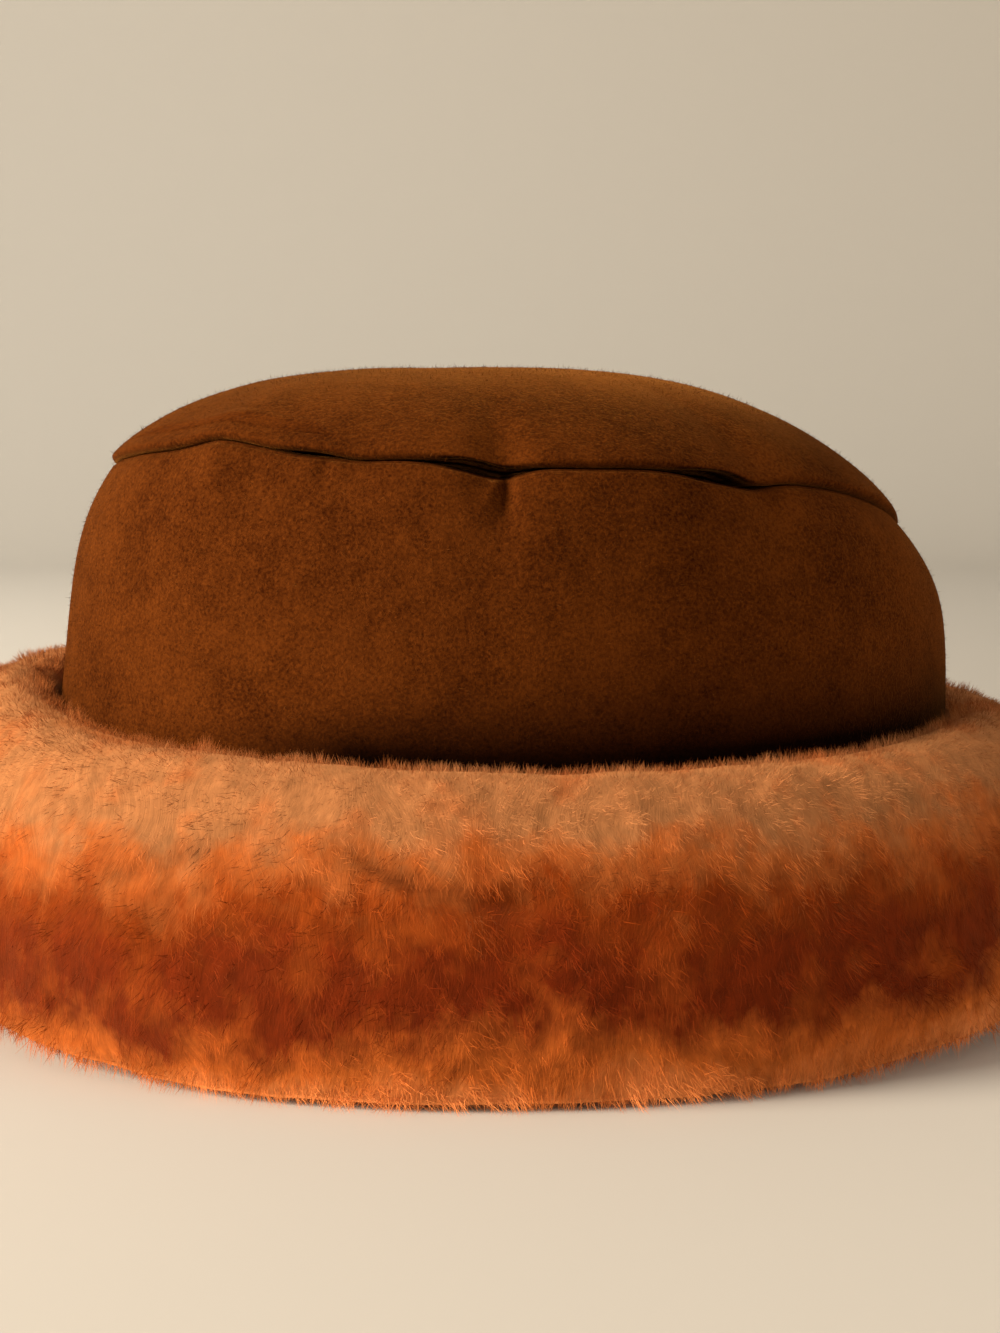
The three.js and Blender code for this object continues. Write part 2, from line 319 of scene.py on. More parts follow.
def ring_directions(rings):
    """On rings of points, the directions along the section and out of the surface: the step to
    the next ring, and its cross product with the step round the hat."""
    along = unit(np.gradient(rings, axis=0))
    across = unit(np.roll(rings, -1, axis=1) - np.roll(rings, 1, axis=1))
    return along, unit(np.cross(along, across))


def add_mesh(name, points, faces, places, attributes=(), smooth=True):
    """A mesh object of triangles, shaded smooth or flat, with its baking map and point
    attributes. places has a pair for each corner of each face."""
    mesh = bpy.data.meshes.new(name)
    mesh.vertices.add(len(points))
    mesh.vertices.foreach_set("co", np.ascontiguousarray(points, np.float32).ravel())
    mesh.loops.add(faces.size)
    mesh.loops.foreach_set("vertex_index", np.ascontiguousarray(faces, np.int32).ravel())
    mesh.polygons.add(len(faces))
    mesh.polygons.foreach_set("loop_start", np.arange(0, faces.size, 3, dtype=np.int32))
    mesh.polygons.foreach_set("use_smooth", np.full(len(faces), smooth))
    mesh.update(calc_edges=True)
    layer = mesh.uv_layers.new(name="OFBake")
    layer.data.foreach_set("uv", np.ascontiguousarray(places, np.float32).ravel())
    for label, values in dict(attributes).items():
        kind, field = ("FLOAT", "value") if values.ndim == 1 else ("FLOAT_VECTOR", "vector")
        data = mesh.attributes.new(label, kind, "POINT").data
        data.foreach_set(field, np.ascontiguousarray(values, np.float32).ravel())
    piece = bpy.data.objects.new(name, mesh)
    bpy.context.scene.collection.objects.link(piece)
    return piece


def ring_faces(rows, turns, closed):
    """Triangles between each ring of points and the next, and their corners' places on a map
    that runs once round the hat and once along the section."""
    steps = np.arange(rows if closed else rows - 1)
    row, turn = np.meshgrid(steps, np.arange(turns), indexing="ij")
    corners = [(row, turn), (row, turn + 1), (row + 1, turn), (row + 1, turn + 1)]
    index = [(r % rows) * turns + t % turns for r, t in corners]
    place = [np.stack([t / turns, r / rows], -1) for r, t in corners]
    order = (0, 2, 1, 1, 2, 3)
    faces = np.stack([index[i] for i in order], -1).reshape(-1, 3)
    places = np.stack([place[i] for i in order], -2).reshape(-1, 2)
    return faces, places


def add_shell(name, rings, attributes=()):
    """A closed skin over rings of points, its last ring joined to its first."""
    rows, turns = rings.shape[:2]
    faces, places = ring_faces(rows, turns, closed=True)
    return add_mesh(name, rings.reshape(-1, 3), faces, places, attributes)


def add_dome(name, rings, outer_top, inner_top, dark):
    """A closed skin over rings of points, with a point that closes its first ring above and one
    that closes its last ring inside. dark, its painted shade, has a value for each point of the
    rings."""
    rows, turns = rings.shape[:2]
    faces, places = ring_faces(rows, turns, closed=False)
    turn = np.arange(turns)
    after = (turn + 1) % turns
    first, last = rows * turns, rows * turns + 1
    deepest = (rows - 1) * turns
    caps = np.concatenate([
        np.stack([np.full(turns, first), turn, after], -1),
        np.stack([np.full(turns, last), deepest + after, deepest + turn], -1),
    ])
    ones = np.ones(turns)
    middle, left, right = (turn + 0.5) / turns, turn / turns, (turn + 1) / turns
    edge = (rows - 1) / rows * ones
    cap_places = np.concatenate([
        np.stack([middle, -0.4 / rows * ones, left, 0 * ones, right, 0 * ones], -1),
        np.stack([middle, ones, right, edge, left, edge], -1),
    ])
    points = np.concatenate([rings.reshape(-1, 3), [outer_top, inner_top]])
    places = np.concatenate([places, cap_places.reshape(-1, 2)])
    places[:, 1] = places[:, 1] * 0.98 + 0.015
    given = {"dark": np.concatenate([dark.ravel(), [0.0, 0.0]])}
    return add_mesh(name, points, np.concatenate([faces, caps]), places, given)


def seam_height(turn):
    """The seam's height without its puckers, and with them."""
    plain = HAT_HEIGHT - TIP_RISE * around("drop", turn)
    return plain, plain + TIP_RISE * folded("lift", turn)


def tip_rings(turn):
    """The tip's section at each angle. The dome falls from its top by a power curve and takes
    up the seam's puckers only near its edge; the lip is a quarter circle; an edge is turned in
    behind it and meets the band's at its end; the wall comes back inside at the suede's
    thickness."""
    plain_height, height = seam_height(turn)
    inset = SEAM_INSET * around("inset", turn)
    out = -inset - SEAM_INSET * folded("pinch", turn)
    lip = folded("lip", turn)
    bottom = height + SEAM_GAP / 2
    top = np.array([-DOME_BACK, 0, HAT_HEIGHT])

    def dome(thickness, share):
        plain = on_oval(turn, -inset - thickness, plain_height + LIP_RADIUS + thickness)
        edge = on_oval(turn, out - thickness, bottom + LIP_RADIUS + thickness)
        peak = top - (0, 0, thickness)
        flat = peak[:2] + (plain[None, :, :2] - peak[:2]) * share[..., None]
        rise = np.maximum(1 - share**DOME_FULLNESS, 0) ** DOME_SLOPE
        up = plain[None, :, 2] + (peak[2] - plain[None, :, 2]) * rise
        line = np.concatenate([flat, up[..., None]], -1)
        pucker = (edge - plain)[None]
        return line + pucker * share[..., None] ** DOME_FOLDS

    share = (1 - (1 - np.linspace(0, 1, TIP_ROWS + 1)[1:]) ** 1.7)[:, None]
    outer = dome(0, share)
    for wave_height, size, seed, fade in DOME_WAVES:
        outer[..., 2] += (1 - share**fade) * wave_height * soft_noise(outer, size, seed)
    roll = np.radians(np.linspace(0, 90, 7)[1:])[:, None]
    lip_rows = on_oval(
        turn,
        out - LIP_RADIUS * (1 - np.cos(roll)),
        bottom + LIP_RADIUS - (LIP_RADIUS - lip) * np.sin(roll),
    )
    flange_end = out - LIP_RADIUS - SEAM_ALLOWANCE
    flange = np.stack([
        on_oval(turn, out - LIP_RADIUS - GAPE_REACH * SEAM_ALLOWANCE, bottom + lip),
        on_oval(turn, flange_end, bottom - SEAM_GAP),
        on_oval(turn, flange_end, bottom + SUEDE),
    ])
    inner = dome(SUEDE, np.array([1.0, 0.95, 0.85, 0.7, 0.5, 0.25])[:, None])
    rings = np.concatenate([outer, lip_rows, flange, inner])
    return rings, top, top - (0, 0, SUEDE)


def band_out(turn, share, inset, pinch):
    """How far out the band's wall lies at a share of its height: it leans in evenly, rounds
    over at the shoulder, and is pinched only near the seam."""
    lean = around("lean", turn)
    rounded = lean * share + (1 - lean) * share**SHOULDER_POWER
    return -inset * rounded - pinch * share**PINCH_POWER


def crease_depth(turn, below):
    """How deep the short creases are, `below` the seam: each is a narrow valley between two low
    ridges that fades at its lower end, over a fan of fine wrinkles."""
    aside = angle_from(turn, CREASES["angle"]) * HALF_LENGTH * 0.87
    width, length = CREASES["width"], CREASES["length"]
    below = below[..., None]
    spread = width * (1 + 1.2 * below / length)
    ridge = np.exp(-((np.abs(aside) / spread - 2.6) ** 2))
    valley = np.exp(-((aside / spread) ** 2)) - 0.35 * ridge
    fade = np.exp(-((below / length) ** 4))
    reach = np.exp(-((aside / (6 * width)) ** 2) - ((below - 1.5 * length) / length) ** 2)
    fan = 0.14 * np.cos(2 * aside / width + 5 * below / length) * reach
    return ((valley * fade + fan) * CREASES["depth"]).sum(-1)


def band_rings(turn):
    """The side band's section at each angle: from the seam over the rounded edge, down the wall
    to its foot, and back up inside at the suede's thickness."""
    height = seam_height(turn)[1]
    inset = SEAM_INSET * around("inset", turn)
    pinch = SEAM_INSET * folded("pinch", turn)
    gape = folded("edge", turn)
    foot = BRIM_HEIGHT * around("crest", turn) - BAND_TUCK
    top = height - SEAM_GAP / 2 - gape
    shoulder = top - SHOULDER_RADIUS * 0.6
    share = ((1 - np.linspace(0, 1, BAND_ROWS)) ** 0.8)[:, None]
    wall_height = foot + (shoulder - foot) * share
    wall = on_oval(turn, band_out(turn, share, inset, pinch), wall_height)
    outward = ring_directions(wall)[1]
    swell = waves(wall, BAND_WAVES) * np.clip(share / 0.3, 0, 1) * (1 - 0.7 * share**8)
    swell -= crease_depth(turn[None, :] + 0 * share, shoulder - wall_height)
    wall += outward * swell[..., None]
    dip = crease_depth(turn, 0 * turn)
    out = band_out(turn, 1.0, inset, pinch) - dip
    roll = np.radians(np.linspace(90, 0, 6)[:-1])[:, None]
    edge = on_oval(
        turn,
        out - SHOULDER_RADIUS * np.sin(roll),
        shoulder + (top - shoulder - 0.3 * dip) * (1 - np.cos(roll)),
    )
    flange_end = out - LIP_RADIUS - SEAM_ALLOWANCE
    under = top + gape - SUEDE
    inner_share = np.array([0.35, 0.65, 0.9])[:, None]
    inner = on_oval(
        turn,
        band_out(turn, inner_share, inset, pinch) - SUEDE,
        foot + (under - SUEDE - foot) * inner_share,
    )
    ends = [
        on_oval(turn, out - SUEDE, under - SUEDE / 2)[None],
        on_oval(turn, flange_end, under)[None],
        on_oval(turn, flange_end, top + gape)[None],
        on_oval(turn, out - LIP_RADIUS - GAPE_REACH * SEAM_ALLOWANCE, top)[None],
    ]
    return np.concatenate([edge, wall, on_oval(turn, -SUEDE, foot)[None], inner, *ends])


def parting_depth(turn, belt):
    """How deep the partings are: along each run a valley with a bell curve across it, fading
    at both its ends."""
    depth = 0
    for angles, places, deepest in PARTINGS:
        degrees = (np.degrees(turn) - angles[0] + 90) % 360 + angles[0] - 90
        middle = (angles[0] + angles[-1]) / 2
        half = (angles[-1] - angles[0]) / 2
        fade = np.exp(-((np.abs(degrees - middle) / half) ** 6))
        aside = (belt - np.interp(degrees, angles, places)) * FUR_RUN
        depth = depth + deepest * fade * np.exp(-((aside / PARTING_WIDTH) ** 2))
    return depth


def brim_rings(turn):
    """The brim's skin under the fur: rings along the section's table, read evenly, set in by
    the pile's depth and swelled by tufts and soft waves. Also each ring's place along the fur,
    from 0 at the groove to 1 at the foot and on to FUR_END inside."""
    crest = BRIM_HEIGHT * around("crest", turn)
    reach = BRIM_REACH * around("reach", turn)
    rising = np.clip((np.abs(np.cos(turn)) - FOOT_FLAT_SHARE) / (1 - FOOT_FLAT_SHARE), 0, 1)
    lift = FOOT_RISE * rising**2 * (3 - 2 * rising)
    over = np.linspace(0, len(FUR_OUT) - 1, BRIM_ROWS)[:, None]
    under = np.linspace(0, len(UNDER_OUT) - 1, UNDER_ROWS)[:, None]
    out = np.concatenate([smooth_between(FUR_OUT, over), smooth_between(UNDER_OUT, under)])
    up = np.concatenate([smooth_between(FUR_UP, over), smooth_between(UNDER_UP, under)])
    up = np.maximum(up, 0)
    rings = on_oval(turn, reach * out, crest * up + lift * (1 - up))
    inside = np.linspace(1.02, FUR_END, UNDER_ROWS)
    belt = np.concatenate([np.linspace(0, 1, BRIM_ROWS), inside])
    outward = ring_directions(rings)[1]
    swell = waves(rings, BRIM_WAVES) + TUFT_RISE * tuft_height(rings)
    swell -= parting_depth(turn, belt[:, None])
    free = np.interp(belt, (0, 0.12, 0.85, 1, FUR_END), (0.2, 1, 1, 0.5, 0.5))[:, None]
    rings += outward * ((swell - PILE_SET_IN) * free)[..., None]
    rings[..., 2] = np.maximum(rings[..., 2], SKIN_CLEARANCE)
    ledge = crest - BAND_TUCK - SEAM_GAP
    closing = np.stack([
        on_oval(turn, -SUEDE, ledge),
        on_oval(turn, SEAM_GAP, ledge),
        on_oval(turn, SEAM_GAP, crest - GROOVE_DEPTH),
    ])
    return rings, belt, closing


def spread_over(rings, belt, count, weight):
    """Random places on a skin of rings: faces drawn in proportion to their area times weight,
    and an even draw inside each. Gives points, outward and downward directions, turn and belt."""
    turns = rings.shape[1]
    along, outward = ring_directions(rings)
    across = np.roll(rings, -1, axis=1) - rings
    area = np.linalg.norm(np.cross(np.diff(rings, axis=0), across[:-1]), axis=-1)
    chance = np.cumsum((area * weight[:-1, None]).ravel())
    cell = np.searchsorted(chance, RANDOM.random(count) * chance[-1])
    row, turn = cell // turns, cell % turns
    s, t = RANDOM.random((2, count, 1))

    def blended(values):
        after = (turn + 1) % turns
        near = values[row, turn] * (1 - t) + values[row, after] * t
        far = values[row + 1, turn] * (1 - t) + values[row + 1, after] * t
        return near * (1 - s) + far * s

    belts = belt[row] * (1 - s[:, 0]) + belt[row + 1] * s[:, 0]
    turns_at = (turn + t[:, 0]) / turns * FULL_TURN
    return blended(rings), unit(blended(outward)), unit(blended(along)), turns_at, belts


def add_strands(name, roots, tips, outward, width, attributes):
    """Closed spikes from roots to tips. A root is a flat triangle: two corners lie across the
    strand, turned a little at random, and the third a quarter of a width below them, so that its
    broad side faces outward. Each spike has its own cell of the map."""
    count = len(roots)
    axis = unit(tips - roots)
    side = unit(np.cross(axis, outward) + 0.2 * RANDOM.normal(size=(count, 3)))
    above = unit(np.cross(side, axis))
    corners = np.stack([roots - side * width / 2, roots + side * width / 2], 1)
    below = roots - above * width / 4
    points = np.concatenate([corners, below[:, None], tips[:, None]], axis=1)
    order = np.array([(1, 0, 3), (0, 2, 3), (2, 1, 3), (0, 1, 2)])
    faces = np.arange(count)[:, None, None] * 4 + order
    columns = math.ceil(math.sqrt(count))
    cell = np.stack([np.arange(count) % columns, np.arange(count) // columns], -1)
    corner = np.array([(0.1, 0.1), (0.9, 0.1), (0.5, 0.9)])
    base = np.array([(0.1, 0.1), (0.9, 0.1), (0.5, 0.3)])
    shape = np.stack([corner, corner, corner, base])
    places = (cell[:, None, None] + shape) / columns
    given = {label: np.repeat(values, 4, axis=0) for label, values in attributes.items()}
    given["along"] = np.tile([0.0, 0.0, 0.0, 1.0], count)
    flat = [array.reshape(-1, array.shape[-1]) for array in (points, faces, places)]
    return add_mesh(name, *flat, given, smooth=False)


def finish_piece(piece, material, node):
    """Give a piece its material, hang it from the root body, and hide the solid that it stands
    for.
    """
    piece.data.materials.append(material)
    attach(piece, "root")
    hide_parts(node)


def add_node(tree, kind, inputs=(), **settings):
    """A shader node with its settings and its inputs, each a value or another node's output."""
    node = tree.nodes.new("ShaderNode" + kind)
    for label, value in settings.items():
        setattr(node, label, value)
    for key, value in dict(inputs).items():
        if isinstance(value, bpy.types.NodeSocket):
            tree.links.new(value, node.inputs[key])
        else:
            node.inputs[key].default_value = value
    return node


def noise(tree, place, size, detail=2.0, roughness=0.5):
    """Noise whose patches are about `size` across."""
    inputs = {"Vector": place, "Scale": 1 / size, "Detail": detail, "Roughness": roughness}
    return add_node(tree, "TexNoise", inputs).outputs["Fac"]


def streaks(tree, place, across, along):
    """Noise drawn out along the second axis of a place."""
    scale = (1 / across, 1 / along, 1)
    drawn = add_node(tree, "Mapping", {"Vector": place, "Scale": scale}).outputs["Vector"]
    return noise(tree, drawn, 1.0, detail=3, roughness=0.6)


def curls(tree, place, size):
    """Thin curved lines like felted fibres, 1 on a line and 0 beside it: the places where a
    distorted noise passes its middle value."""
    inputs = {"Vector": place, "Scale": 1 / size, "Detail": 1.5, "Distortion": 1.2}
    wave = add_node(tree, "TexNoise", inputs).outputs["Fac"]
    away = add_node(tree, "Math", {0: wave, 1: 0.5}, operation="SUBTRACT").outputs[0]
    return ranged(tree, maths(tree, "ABSOLUTE", away, 0), 1, 0, 0, 0.045)


def maths(tree, operation, a, b):
    """The outcome of one operation on two values."""
    return add_node(tree, "Math", {0: a, 1: b}, operation=operation).outputs[0]


def ranged(tree, value, low, high, start=0.25, end=0.75):
    """A value between start and end carried to low and high."""
    inputs = {"Value": value, "From Min": start, "From Max": end, "To Min": low, "To Max": high}
    return add_node(tree, "MapRange", inputs).outputs["Result"]


def mixed(tree, factor, a, b, blend="MIX"):
    """Two colours mixed by a factor."""
    inputs = {0: factor, 6: a, 7: b}
    return add_node(tree, "Mix", inputs, data_type="RGBA", blend_type=blend).outputs[2]


def new_material(name, **sockets):
    """A material with one surface shader, and values for its sockets."""
    material = bpy.data.materials.new(name)
    material.use_nodes = True
    tree = material.node_tree
    shader = tree.nodes["Principled BSDF"]
    for label, value in sockets.items():
        shader.inputs[label.replace("_", " ")].default_value = value
    return material, tree, shader


def suede_material():
    """Brushed suede: a fine nap of light and dark fibres over cloudy patches where the nap lies
    in different directions, with a soft sheen and a raised grain."""
    material, tree, shader = new_material(
        "brown_suede",
        Roughness=0.95,
        Specular_IOR_Level=0.01,
        Sheen_Weight=0.26,
        Sheen_Roughness=0.32,
        Sheen_Tint=(0.66, 0.25, 0.045, 1),
    )
    place = add_node(tree, "TexCoord").outputs["Object"]
    nap = noise(tree, place, 0.7 * MM, detail=3, roughness=0.65)
    cloud = noise(tree, place, 26 * MM, detail=3, roughness=0.6)
    mottle = noise(tree, place, 5 * MM, detail=4, roughness=0.6)
    fibre = curls(tree, place, 1.7 * MM)
    dark, light = (0.026, 0.0051, 0.0006, 1), (0.098, 0.0238, 0.003, 1)
    depth = maths(tree, "ADD", ranged(tree, nap, -0.5, 0.5), ranged(tree, cloud, 0.15, 0.7))
    depth = maths(tree, "ADD", depth, ranged(tree, mottle, -0.12, 0.24))
    depth = maths(tree, "ADD", depth, maths(tree, "MULTIPLY", fibre, 0.3))
    colour = mixed(tree, depth, dark, light)
    tone = add_node(tree, "Attribute", attribute_name="fibre_tone").outputs["Fac"]
    colour = mixed(tree, maths(tree, "MULTIPLY", tone, 0.35), colour, (0.24, 0.085, 0.02, 1))
    # dark: painted shade in the seam, and near the fur painted shade that is partly dirt
    near = add_node(tree, "Attribute", attribute_name="dark").outputs["Fac"]
    shade = ranged(tree, maths(tree, "POWER", near, 1.8), 1, 0.03, 0, 1)
    grey = add_node(tree, "CombineXYZ", {"X": shade, "Y": shade, "Z": shade}).outputs[0]
    colour = mixed(tree, 1.0, colour, grey, "MULTIPLY")
    tree.links.new(colour, shader.inputs["Base Color"])
    grain = maths(tree, "ADD", nap, maths(tree, "MULTIPLY", mottle, 1.5))
    grain = maths(tree, "ADD", grain, maths(tree, "MULTIPLY", fibre, 0.4))
    bump = add_node(tree, "Bump", {"Height": grain, "Strength": 0.7, "Distance": 0.16 * MM})
    tree.links.new(bump.outputs["Normal"], shader.inputs["Normal"])
    return material


def fur_material():
    """Dyed sheared fur: bands of colour along the section, ragged where they meet, with orange
    patches. A strand is darker at its root, painted shade in place of the shadows that the
    strands don't cast, and each has a tone of its own, with painted shade in the tufts' hollows,
    painted light on their ridges and painted shade in the partings."""
    material, tree, shader = new_material(
        "dyed_sheared_fur",
        Roughness=0.9,
        Specular_IOR_Level=0.04,
        Sheen_Weight=0.2,
        Sheen_Roughness=0.5,
        Sheen_Tint=(1.0, 0.45, 0.16, 1),
    )
    attribute = {
        label: add_node(tree, "Attribute", attribute_name=label)
        for label in ("belt", "along", "tone", "root")
    }
    root = attribute["root"].outputs["Vector"]
    broad = noise(tree, root, 24 * MM, detail=2)
    ragged = noise(tree, root, 7 * MM, detail=3, roughness=0.6)
    patch = noise(tree, root, 13 * MM, detail=3, roughness=0.55)
    belt = maths(tree, "ADD", attribute["belt"].outputs["Fac"], ranged(tree, broad, -0.06, 0.06))
    belt = maths(tree, "ADD", belt, ranged(tree, ragged, -0.05, 0.05))
    ramp = add_node(tree, "ValToRGB", {"Fac": belt})
    elements = ramp.color_ramp.elements
    while len(elements) < len(FUR_DYES):
        elements.new(0.5)
    for element, (position, colour) in zip(elements, FUR_DYES):
        element.position = position
        element.color = (*colour, 1)
    patched = ranged(tree, patch, 0, 0.45, 0.52, 0.7)
    orange = mixed(tree, patched, ramp.outputs["Color"], (0.36, 0.07, 0.008, 1))
    inputs = {"Value": attribute["tone"].outputs["Fac"], "To Min": -0.18, "To Max": 0.18}
    tone = add_node(tree, "MapRange", inputs, clamp=False).outputs["Result"]
    # painted shade: each strand darker towards its root, in place of the shadows it doesn't cast
    shade = ranged(tree, attribute["along"].outputs["Fac"], 0.78, 1.12, 0, 1)
    shade = maths(tree, "ADD", shade, tone)
    shade = maths(tree, "MULTIPLY", shade, ranged(tree, ragged, 0.86, 1.14))
    mottle = noise(tree, root, 2.6 * MM, detail=2)
    shade = maths(tree, "MULTIPLY", shade, ranged(tree, mottle, 0.88, 1.12))
    comb = add_node(tree, "Attribute", attribute_name="comb").outputs["Vector"]
    streak = streaks(tree, comb, 0.45 * MM, 2.6 * MM)
    wisp = streaks(tree, comb, 1.3 * MM, 6 * MM)
    shade = maths(tree, "MULTIPLY", shade, ranged(tree, streak, 0.93, 1.07))
    shade = maths(tree, "MULTIPLY", shade, ranged(tree, wisp, 0.8, 1.2))
    grey = add_node(tree, "CombineXYZ", {"X": shade, "Y": shade, "Z": shade}).outputs[0]
    colour = mixed(tree, 1.0, orange, grey, "MULTIPLY")
    tree.links.new(colour, shader.inputs["Base Color"])
    bump = add_node(tree, "Bump", {"Height": streak, "Strength": 0.5, "Distance": 0.3 * MM})
    tree.links.new(bump.outputs["Normal"], shader.inputs["Normal"])
    return material


def hem_shade_and_dirt(points, turn):
    """How dark the crown is near the fur, as painted shade where the fur crowds it that is partly
    dirt: it rises to its most at the fur's crest, and is weaker where the dark hem is low."""
    above = points[..., 2] - BRIM_HEIGHT * around("crest", turn)
    share = around("hem_shade_and_dirt", turn)
    near = np.clip(1 - above / (HEM_HEIGHT * share), 0, 1)
    return near * np.clip(share / HEM_FULL, 0, 1)


def seam_painted_shade(turn):
    """How much painted shade darkens the seam's turned-in edges: most where the seam gapes."""
    return np.clip(SEAM_PAINTED_SHADE + GAPE_PAINTED_SHADE * (folded("lip", turn) + folded("edge", turn)), 0, 1)


def add_tip(suede):
    """The tip, darkened in the seam by painted shade. Gives the rings that its nap stands on."""
    turn = np.arange(TIP_TURNS) / TIP_TURNS * FULL_TURN
    rings, outer_top, inner_top = tip_rings(turn)
    dark = np.zeros(rings.shape[:2])
    lip = slice(TIP_ROWS, TIP_ROWS + len(LIP_PAINTED_SHADE))
    # painted shade on the tip's rolled lip and flange, inside the seam
    dark[lip] = np.array(LIP_PAINTED_SHADE)[:, None] * seam_painted_shade(turn)
    tip = add_dome("crown_tip_suede", rings, outer_top, inner_top, dark)
    finish_piece(tip, suede, "crown_tip")
    return rings[: TIP_ROWS + 4]


def add_band(suede):
    """The side band, darkened by painted shade in the seam and at its hem, where it is partly
    dirt.
    Gives the rings that its nap stands on.
    """
    turn = np.arange(BAND_TURNS) / BAND_TURNS * FULL_TURN
    rings = band_rings(turn)
    # painted shade near the fur, partly dirt
    dark = hem_shade_and_dirt(rings, turn)
    dark[: len(EDGE_PAINTED_SHADE)] = np.array(EDGE_PAINTED_SHADE)[:, None] * seam_painted_shade(turn)
    # painted shade inside the band's turned-in flange, in the seam
    dark[-3:] = 1
    band = add_shell("crown_band_suede", rings, {"dark": dark.ravel()})
    finish_piece(band, suede, "crown_band")
    return rings[2:BAND_ROWS]


def add_nap(node, skin, suede):
    """Short fibres on a skin of rings, half of NAP_STRANDS: they lean down and every way, and
    each has a tone of its own."""
    count = NAP_STRANDS // 2
    belt = np.zeros(len(skin))
    roots, outward, along, turns, _ = spread_over(skin, belt, count, np.ones(len(skin)))
    way = NAP_RISE * outward + NAP_LEAN * along + NAP_WILD * RANDOM.normal(size=(count, 3))
    way -= outward * np.minimum((way * outward).sum(-1, keepdims=True) - 0.2, 0)
    length = NAP_LENGTH * RANDOM.uniform(0.4, 1.2, (count, 1))
    tone = RANDOM.random(count) ** 3
    tips = roots + unit(way) * length
    # the nap takes the hem's painted shade, partly dirt, too
    given = {"dark": hem_shade_and_dirt(roots, turns), "fibre_tone": tone}
    nap = add_strands(node + "_nap", roots, tips, outward, NAP_WIDTH, given)
    finish_piece(nap, suede, node)


def add_crown(suede):
    """The tip, the side band and the nap that stands on both."""
    skins = {"crown_tip": add_tip(suede), "crown_band": add_band(suede)}
    for node, skin in skins.items():
        add_nap(node, skin, suede)


def tuft_height(points):
    """Fur stands in tufts: soft noise at the tufts' size, with finer noise over it."""
    return 0.7 * soft_noise(points, TUFT, 12) + 0.3 * soft_noise(points, TUFT / 2, 13)


def combed(points, turn, belt):
    """Each point's place across and along the fur's lie, in metres: its way round the hat and
    its place down the section, both shifted by soft noise so that the lie wanders."""
    shift = [6 * MM * soft_noise(points, 12 * MM, seed) for seed in (14, 15)]
    across = turn * FUR_ROUND / FULL_TURN + shift[0]
    down = belt * FUR_RUN + shift[1]
    return np.stack([across, down, 0 * down], -1)


def add_skin(fur, rings, closing, belt, turn):
    """The brim's skin under the fur, with its closing rings at the crown."""
    skin = np.concatenate([rings, closing])
    belts = np.concatenate([belt, [FUR_END, 0.0, 0.0]])
    flat = skin.reshape(-1, 3)
    turns, belts = np.tile(turn, len(belts)), np.repeat(belts, BRIM_TURNS)
    parted = parting_depth(turns, belts) / PARTING_DARK
    given = {
        "belt": belts - around("dye", turns),
        # painted shade: the skin is as dark as the strands' lower parts
        "along": np.full(len(flat), 0.35),
        # painted shade in the tone: darker in the tufts' hollows and the partings, lighter on the
        # ridges
        "tone": FUR_TONE + TUFT_PAINTED_SHADE * tuft_height(flat) - parted,
        "root": flat,
        "comb": combed(flat, turns, belts),
    }
    finish_piece(add_shell("brim_skin", skin, given), fur, "fur_brim")


def add_fur(name, fur, rings, belt, weight):
    """One piece of the fur. Each strand leans from the surface's outward direction down the
    slope, stirred by soft noise, and its tip is drawn towards the ridge of its tuft. Strands
    stand up more at the crest and the foot, and are short in the partings, where painted shade
    makes them dark. They cast no shadows, since light goes through real fibres and softens theirs;
    the skin casts them, and painted shade towards their roots and in the tufts' hollows stands in
    for the rest."""
    roots, outward, along, turns, belts = spread_over(rings, belt, FUR_STRANDS, weight)
    height = tuft_height(roots)
    parted = parting_depth(turns, belts) / PARTING_DARK
    wild = np.interp(belts, *FUR_WILD)[:, None]
    stir = np.stack([soft_noise(roots, 11 * MM, seed) for seed in (8, 9, 10)], -1)
    lie = along + FUR_STIR * stir + wild * RANDOM.normal(size=roots.shape)
    lie = unit(lie - outward * (lie * outward).sum(-1, keepdims=True))
    rise = np.interp(belts, *FUR_RISE)[:, None] * RANDOM.uniform(0.5, 1.5, (FUR_STRANDS, 1))
    way = unit(lie + rise * outward)
    length = FUR_LENGTH * RANDOM.uniform(0.6, 1.1, FUR_STRANDS) * (1 + 0.25 * height)
    room = np.interp(belts, *FUR_ROOM) * np.exp(-parted)
    tips = roots + way * (length * room)[:, None]
    tips += noise_slope(roots, TUFT, 12) * TUFT_PULL * room[:, None]
    tips[:, 2] = np.maximum(tips[:, 2], STRAND_CLEARANCE)
    pale = RANDOM.random(FUR_STRANDS) < FUR_PALE_SHARE
    # painted shade in the tone: darker in the tufts' hollows and the partings, lighter on the
    # ridges
    tone = FUR_TONE + TUFT_PAINTED_SHADE * height - parted
    tone += RANDOM.uniform(-0.25, 0.25, FUR_STRANDS) + pale
    dyed = belts - around("dye", turns)
    given = {"belt": dyed, "tone": tone, "root": roots, "comb": combed(roots, turns, belts)}
    roots = roots - outward * FUR_ROOT_SINK
    width = FUR_WIDTH * np.interp(belts, *FUR_GIRTH)[:, None]
    strands = add_strands(name, roots, tips, outward, width, given)
    strands.visible_shadow = False
    finish_piece(strands, fur, "fur_brim")


def add_brim(fur):
    """The brim's skin and the fur on it."""
    turn = np.arange(BRIM_TURNS) / BRIM_TURNS * FULL_TURN
    rings, belt, closing = brim_rings(turn)
    add_skin(fur, rings, closing, belt, turn)
    weight = np.interp(belt, *FUR_DENSITY)
    for number in range(FUR_PIECES):
        add_fur(f"brim_fur_{number + 1}", fur, rings, belt, weight)


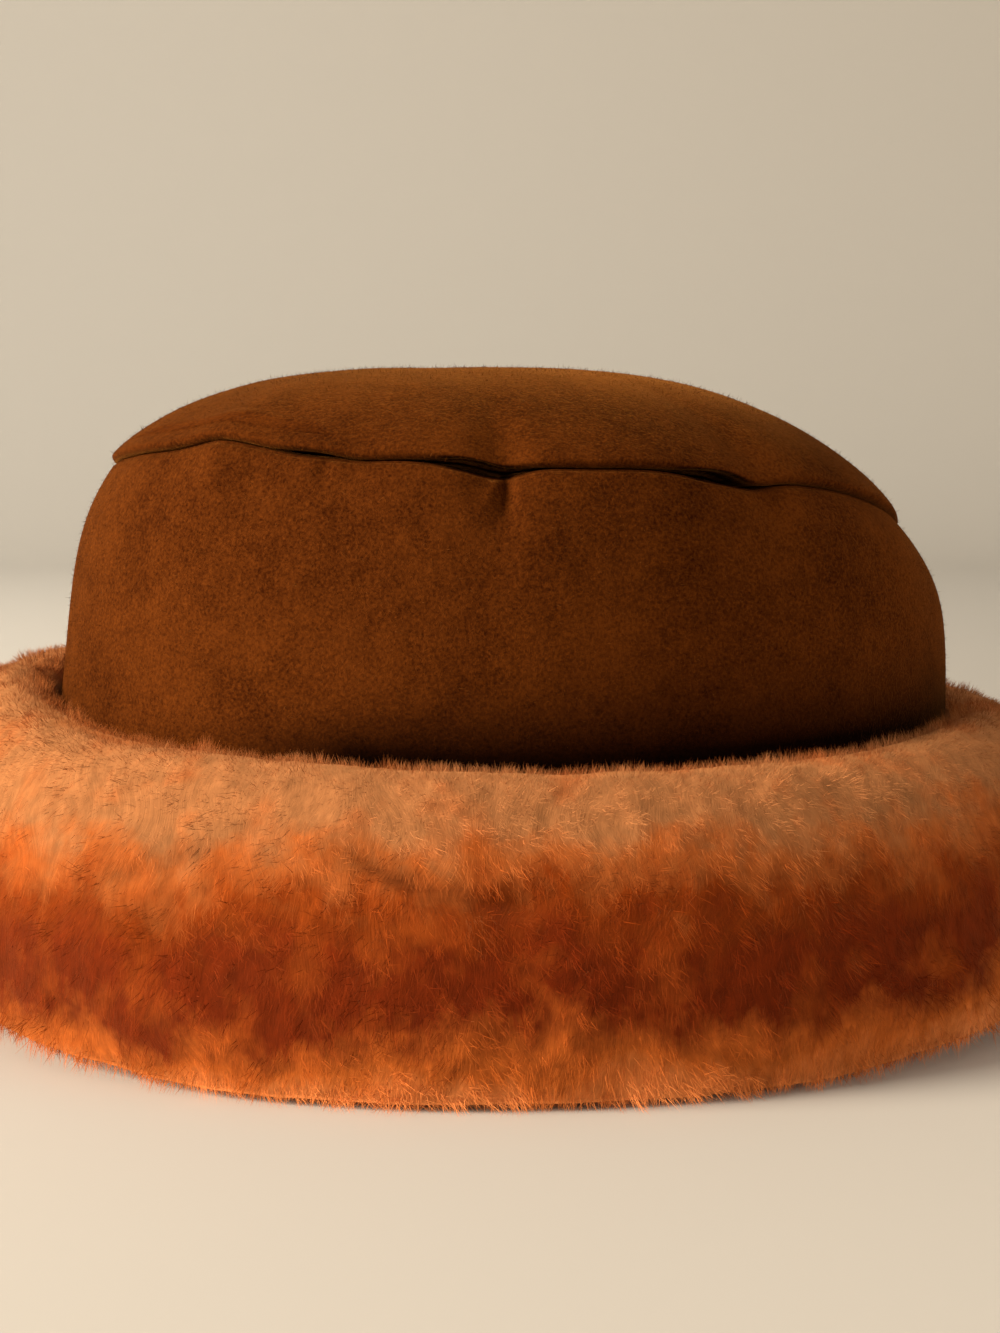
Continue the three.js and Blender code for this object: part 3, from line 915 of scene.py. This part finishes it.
def add_floor():
    """A pale studio floor that sweeps up all round into a wall, as a round bowl."""
    bend = np.radians(np.linspace(0, 90, 19))
    corner = FLOOR_RADIUS + FLOOR_CORNER * np.sin(bend)
    across = np.concatenate([[0.4, 1.0], corner, [FLOOR_RADIUS + FLOOR_CORNER]])[:, None]
    up = np.concatenate([[0, 0], FLOOR_CORNER * (1 - np.cos(bend)), [WALL_HEIGHT]])[:, None]
    step = np.arange(FLOOR_TURNS)
    turn = step / FLOOR_TURNS * FULL_TURN
    rings = np.stack(np.broadcast_arrays(across * np.cos(turn), across * np.sin(turn), up), -1)
    faces, places = ring_faces(len(rings), FLOOR_TURNS, closed=False)
    centre = np.full(FLOOR_TURNS, len(rings) * FLOOR_TURNS)
    cap = np.stack([centre, step, (step + 1) % FLOOR_TURNS], -1)
    points = np.concatenate([rings.reshape(-1, 3), [(0, 0, 0)]])
    places = np.concatenate([places, np.zeros((cap.size, 2))])
    floor = add_mesh("studio_floor", points, np.concatenate([faces, cap]), places)
    material = new_material("pale_floor", Roughness=0.9, Base_Color=FLOOR_COLOUR)[0]
    floor.data.materials.append(material)


def add_light(name, target, place, size, power, colour):
    """A round soft light at a place, turned to its target."""
    lamp = bpy.data.lights.new(name, "AREA")
    lamp.shape = "DISK"
    lamp.size = size
    lamp.energy = power
    lamp.color = colour
    light = bpy.data.objects.new(name, lamp)
    light.location = place
    light.rotation_euler = (Vector(target) - Vector(place)).to_track_quat("-Z", "Y").to_euler()
    light.visible_camera = False
    bpy.context.scene.collection.objects.link(light)


def add_lights():
    """A warm key and a weak fill from the camera's left and right, a light on the wall behind
    the hat, and a dim even sky."""
    for name, (target, place, size, power, colour) in LIGHTS.items():
        add_light(name, target, place, size, power, colour)
    world = bpy.data.worlds.new("studio_sky")
    bpy.context.scene.world = world
    world.use_nodes = True
    background = world.node_tree.nodes["Background"]
    background.inputs["Color"].default_value = SKY_COLOUR
    background.inputs["Strength"].default_value = SKY_STRENGTH
    bpy.context.scene.view_settings.view_transform = "Standard"


def add_camera():
    """The camera stands level with the crown, on the hat's right side, and looks down a little."""
    camera = bpy.data.objects.new("camera", bpy.data.cameras.new("camera"))
    camera.data.lens = CAMERA_LENS
    camera.data.sensor_width = CAMERA_SENSOR
    camera.data.clip_start = 0.02
    camera.location = CAMERA_PLACE
    camera.rotation_euler = (math.radians(90 - CAMERA_TILT), 0, 0)
    bpy.context.scene.collection.objects.link(camera)
    bpy.context.scene.camera = camera


add_crown(suede_material())
add_brim(fur_material())
add_floor()
add_lights()
add_camera()
